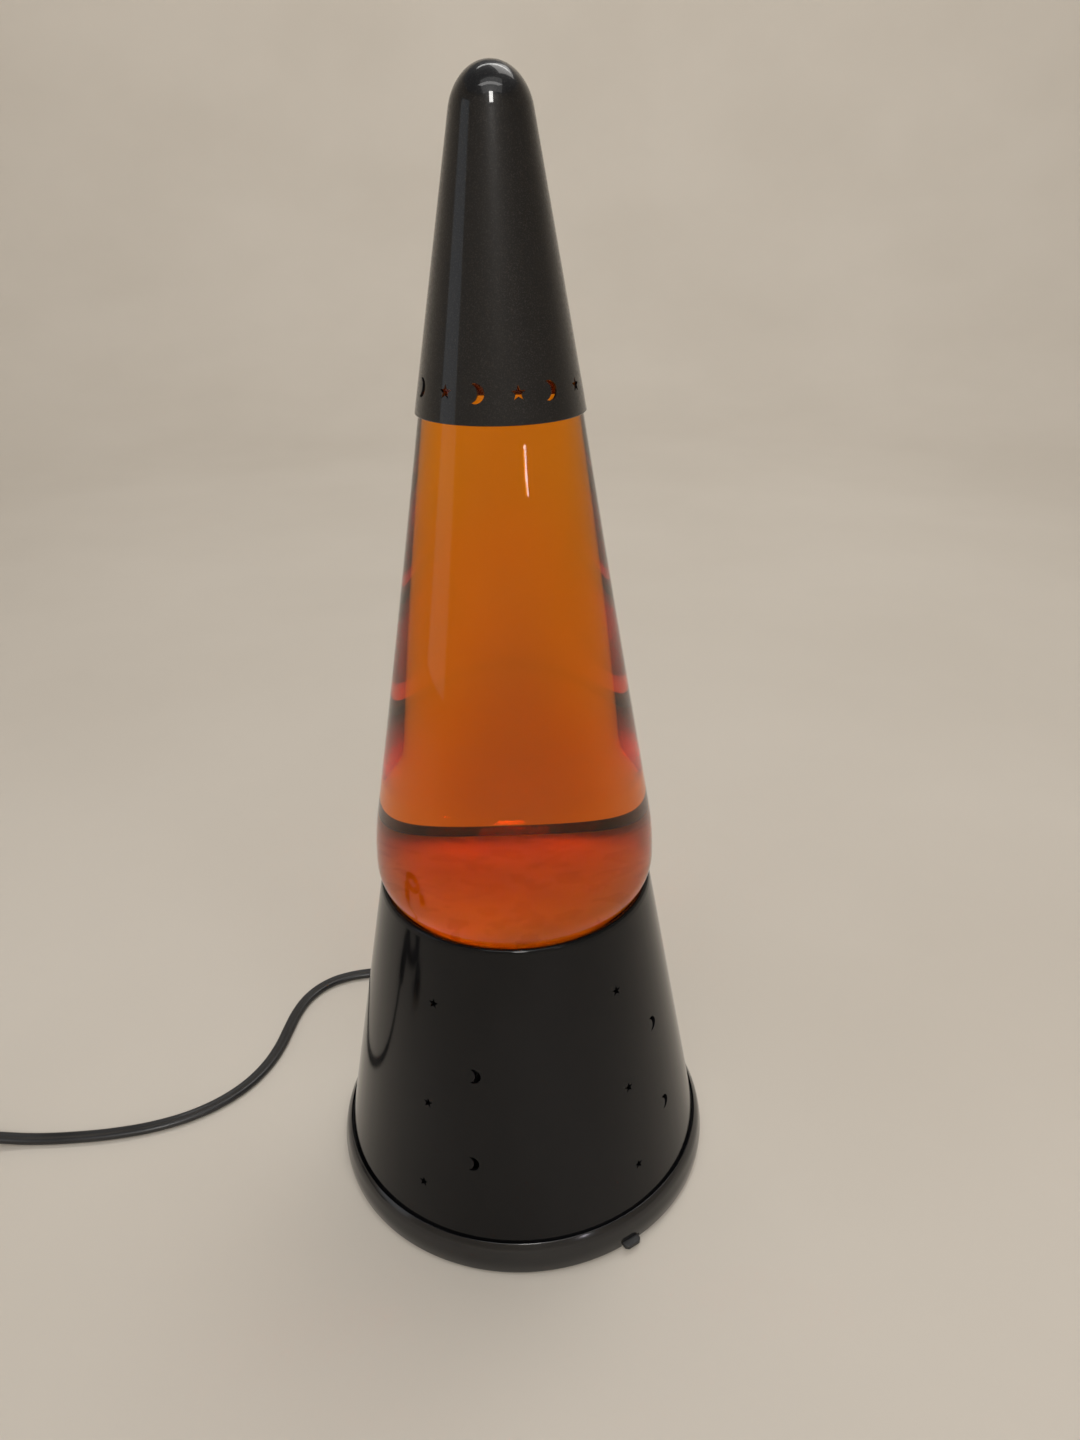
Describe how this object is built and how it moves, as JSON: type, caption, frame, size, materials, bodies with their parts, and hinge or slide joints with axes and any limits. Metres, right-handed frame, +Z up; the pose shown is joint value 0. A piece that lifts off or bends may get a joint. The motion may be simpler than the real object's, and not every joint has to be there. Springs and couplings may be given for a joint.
{
  "type": "lava lamp",
  "caption": "Cone-shaped lava lamp: orange liquid and wax in a glass globe between a black pierced cap and a glossy black pierced base, with a switched cord.",
  "frame": {"origin": "on the surface the lamp stands on, under the lamp's axis", "axes": "+Z up the lamp's axis to the cap's tip, -Y towards the front, +X to the viewer's right"},
  "size_m": [0.4573, 0.1963, 0.4133],
  "materials": {
    "cap_paint": "satin near-black paint on spun aluminium",
    "globe_glass": "clear glass",
    "orange_liquid": "clear orange liquid",
    "orange_wax": "translucent orange-red wax, set flat",
    "coil_steel": "bright spring wire",
    "crown_tinplate": "tinned steel crown",
    "crown_seal": "sealing disc",
    "base_enamel": "high-gloss black enamel",
    "foot_plastic": "high-gloss black",
    "cover_plastic": "matt black",
    "foot_rubber": "matt black rubber",
    "zinc_steel": "zinc-plated steel",
    "phenolic": "dark brown phenolic",
    "brass": "plain brass",
    "wire_black": "black insulation",
    "wire_white": "white insulation",
    "bulb_clear": "clear bulb glass",
    "filament_wire": "tungsten wire",
    "bulb_aluminium": "rolled aluminium",
    "black_glass": "black vitreous insulator",
    "solder": "solder tip",
    "cord_pvc": "black flexible PVC with a soft sheen",
    "switch_plastic": "black moulded plastic",
    "wheel_plastic": "knurled dark grey plastic",
    "tie_plastic": "black strip"
  },
  "bodies": {
    "base": {"base_shell": "base_enamel", "foot_ring": "foot_plastic", "bottom_cover": "cover_plastic", "rubber_foot_1": "foot_rubber", "rubber_foot_2": "foot_rubber", "rubber_foot_3": "foot_rubber", "rubber_foot_4": "foot_rubber", "cover_screw_1": "zinc_steel", "cover_screw_2": "zinc_steel", "cover_screw_3": "zinc_steel", "socket_bracket": "zinc_steel", "bracket_rivet_1": "zinc_steel", "bracket_rivet_2": "zinc_steel", "socket_housing": "phenolic", "socket_screw_shell": "brass", "socket_centre_contact": "brass", "terminal_screw_1": "brass", "terminal_screw_2": "brass", "lead_wire_1": "wire_black", "lead_wire_2": "wire_white", "strain_relief": "cord_pvc", "cord_to_switch": "cord_pvc", "switch_case_lower": "switch_plastic", "switch_case_upper": "switch_plastic", "switch_screw": "zinc_steel", "cord_to_coil": "cord_pvc", "cord_coil": "cord_pvc", "cord_tie": "tie_plastic", "cord_to_plug": "cord_pvc", "plug_body": "switch_plastic", "plug_blade_narrow": "brass", "plug_blade_wide": "brass"},
    "globe": {"globe_bottle": "globe_glass", "lava_liquid": "orange_liquid", "wax": "orange_wax", "heating_coil": "coil_steel", "crown_cap": "crown_tinplate", "crown_gasket": "crown_seal"},
    "cap": {"cap_shell": "cap_paint"},
    "bulb_carrier": {"bulb_contact": "solder", "bulb_insulator": "black_glass"},
    "bulb": {"bulb_glass": "bulb_clear", "bulb_stem": "bulb_clear", "bulb_filament": "filament_wire", "bulb_screw_cap": "bulb_aluminium"},
    "switch_wheel_body": {"switch_wheel": "wheel_plastic"}
  },
  "joints": [
    {"name": "globe_lift", "type": "slide", "parent": "base", "child": "globe", "axis": [0, 0, 1], "range_m": [0, 0.06]},
    {"name": "cap_lift", "type": "slide", "parent": "globe", "child": "cap", "axis": [0, 0, 1], "range_m": [0, 0.07]},
    {"name": "bulb_rise", "type": "slide", "parent": "base", "child": "bulb_carrier", "axis": [0, 0, 1], "range_m": [0, 0.01099]},
    {"name": "bulb_turn", "type": "hinge", "parent": "bulb_carrier", "child": "bulb", "pos_m": [0, 0, 0.03], "axis": [0, 0, 1], "range_deg": [0, 1080]},
    {"name": "switch_wheel_turn", "type": "hinge", "parent": "base", "child": "switch_wheel_body", "pos_m": [-0.281, -0.0076, 0.0065], "axis": [0, 0, 1], "continuous": true}
  ],
  "couplings": [
    {"joint": "bulb_rise", "follows": "bulb_turn", "m_per_rad": 0.00057773}
  ]
}
